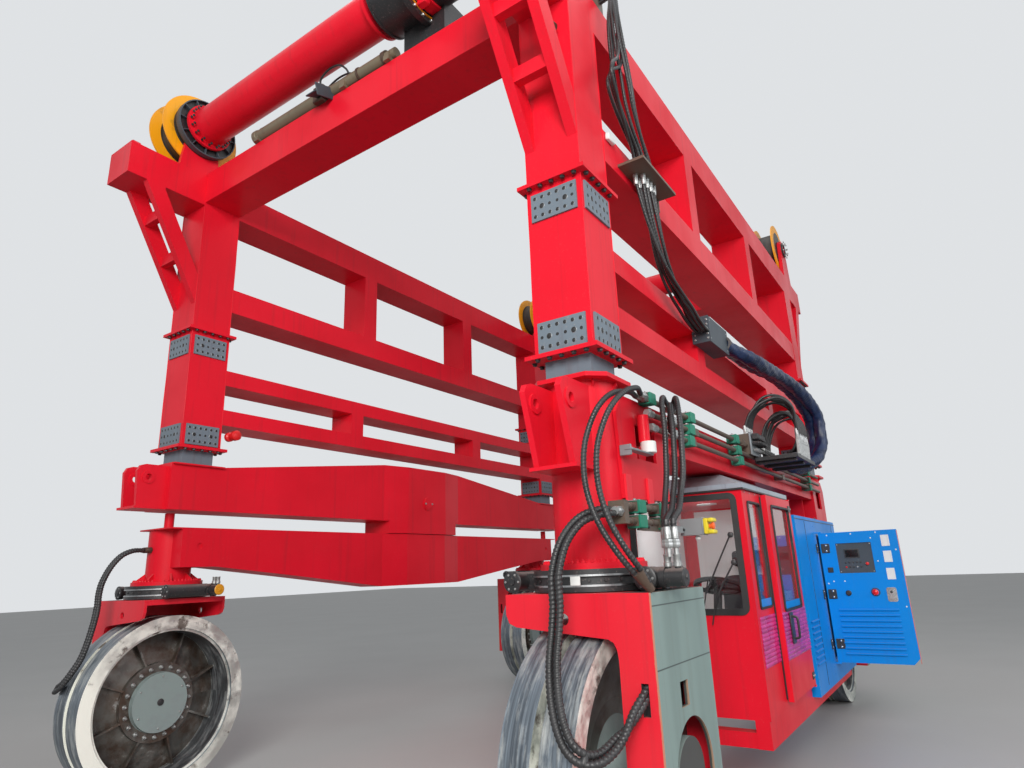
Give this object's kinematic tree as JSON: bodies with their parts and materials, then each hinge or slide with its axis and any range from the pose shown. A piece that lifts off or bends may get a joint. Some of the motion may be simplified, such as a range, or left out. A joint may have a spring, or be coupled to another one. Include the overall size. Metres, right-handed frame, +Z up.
{
  "type": "straddle carrier",
  "caption": "Straddle carrier: open gantry of box beams on steered wheels, with a rocker beam on one side, hoists on top, and a cab and power unit on the other side.",
  "frame": {"origin": "on the floor, at the middle of the outline seen from above with the control door open", "axes": "+X towards the cab end of the machine, +Y towards the side that carries the cab, +Z up"},
  "size_m": [7.98, 5.921, 6.4968],
  "materials": {
    "red_paint": "satin",
    "grey_paint": "satin",
    "black_paint": "satin",
    "yellow_paint": "satin",
    "blue_paint": "satin",
    "white_paint": "satin",
    "bare_steel": "worn",
    "polished_steel": "polished",
    "olive_paint": "satin",
    "seat_cover": "matt",
    "console_plastic": "matt",
    "cast_engine": "matt",
    "hose_rubber": "satin"
  },
  "bodies": {
    "frame": {"side_trusses": "red_paint", "cross_beams": "red_paint", "legs": "red_paint", "leg_inserts": "red_paint", "splice_plates": "grey_paint", "leg_pads": "grey_paint", "ladders": "red_paint", "sill_right": "red_paint", "rocker_beam": "red_paint", "rocker_pin": "polished_steel", "sill_left": "red_paint", "turrets_left": "red_paint", "turrets_right": "red_paint", "slew_rings": "black_paint", "hoist_stands": "red_paint", "hoist_drives": "black_paint", "traverse_cylinders": "olive_paint", "service_base": "red_paint", "cab_shell": "red_paint", "cab_roof_unit": "white_paint", "cab_seat": "seat_cover", "cab_console": "console_plastic", "power_cabinet": "blue_paint", "engine_block": "cast_engine", "pipe_run": "grey_paint", "hose_upper_fl": "hose_rubber", "hose_pair_fl": "hose_rubber", "hose_upper_fr": "hose_rubber", "hose_bundle_top": "hose_rubber"},
    "steer_fl": {"fork_fl": "red_paint", "hose_lower_fl": "hose_rubber"},
    "steer_fr": {"fork_fr": "red_paint", "hose_lower_fr": "hose_rubber"},
    "steer_rl": {"fork_rl": "red_paint"},
    "steer_rr": {"fork_rr": "red_paint"},
    "wheel_fl_body": {"wheel_fl": "bare_steel"},
    "wheel_fr_body": {"wheel_fr": "bare_steel"},
    "wheel_rl_body": {"wheel_rl": "bare_steel"},
    "wheel_rr_body": {"wheel_rr": "bare_steel"},
    "hoist_front_body": {"hoist_front": "red_paint", "drums_front": "yellow_paint"},
    "hoist_rear_body": {"hoist_rear": "red_paint", "drums_rear": "yellow_paint"},
    "cab_door_body": {"cab_door": "red_paint"},
    "power_door_body": {"power_door": "blue_paint"}
  },
  "joints": [
    {"name": "steer_fl", "type": "hinge", "parent": "frame", "child": "steer_fl", "pos_m": [3.05, 1.8195, 1.5], "axis": [0, 0, 1], "range_deg": [-90, 90]},
    {"name": "roll_fl", "type": "hinge", "parent": "steer_fl", "child": "wheel_fl_body", "pos_m": [3.05, 1.8195, 0.7], "axis": [0, 1, 0], "continuous": true},
    {"name": "steer_fr", "type": "hinge", "parent": "frame", "child": "steer_fr", "pos_m": [3.05, -2.4905, 1.5], "axis": [0, 0, 1], "range_deg": [-90, 90]},
    {"name": "roll_fr", "type": "hinge", "parent": "steer_fr", "child": "wheel_fr_body", "pos_m": [3.05, -2.4905, 0.7], "axis": [0, 1, 0], "continuous": true},
    {"name": "steer_rl", "type": "hinge", "parent": "frame", "child": "steer_rl", "pos_m": [-3.05, 1.8195, 1.5], "axis": [0, 0, 1], "range_deg": [-90, 90]},
    {"name": "roll_rl", "type": "hinge", "parent": "steer_rl", "child": "wheel_rl_body", "pos_m": [-3.05, 1.8195, 0.7], "axis": [0, 1, 0], "continuous": true},
    {"name": "steer_rr", "type": "hinge", "parent": "frame", "child": "steer_rr", "pos_m": [-3.05, -2.4905, 1.5], "axis": [0, 0, 1], "range_deg": [-90, 90]},
    {"name": "roll_rr", "type": "hinge", "parent": "steer_rr", "child": "wheel_rr_body", "pos_m": [-3.05, -2.4905, 0.7], "axis": [0, 1, 0], "continuous": true},
    {"name": "hoist_front_turn", "type": "hinge", "parent": "frame", "child": "hoist_front_body", "pos_m": [3.32, -0.2605, 6.102], "axis": [0, 1, 0], "continuous": true},
    {"name": "hoist_rear_turn", "type": "hinge", "parent": "frame", "child": "hoist_rear_body", "pos_m": [-3.32, -0.2605, 6.102], "axis": [0, 1, 0], "continuous": true},
    {"name": "cab_door_swing", "type": "hinge", "parent": "frame", "child": "cab_door_body", "pos_m": [-0.016, 2.2245, 1.2], "axis": [0, 0, 1], "range_deg": [0, 100]},
    {"name": "power_door_swing", "type": "hinge", "parent": "frame", "child": "power_door_body", "pos_m": [-1.064, 2.2745, 1.2], "axis": [0, 0, 1], "range_deg": [-75, 90]}
  ]
}
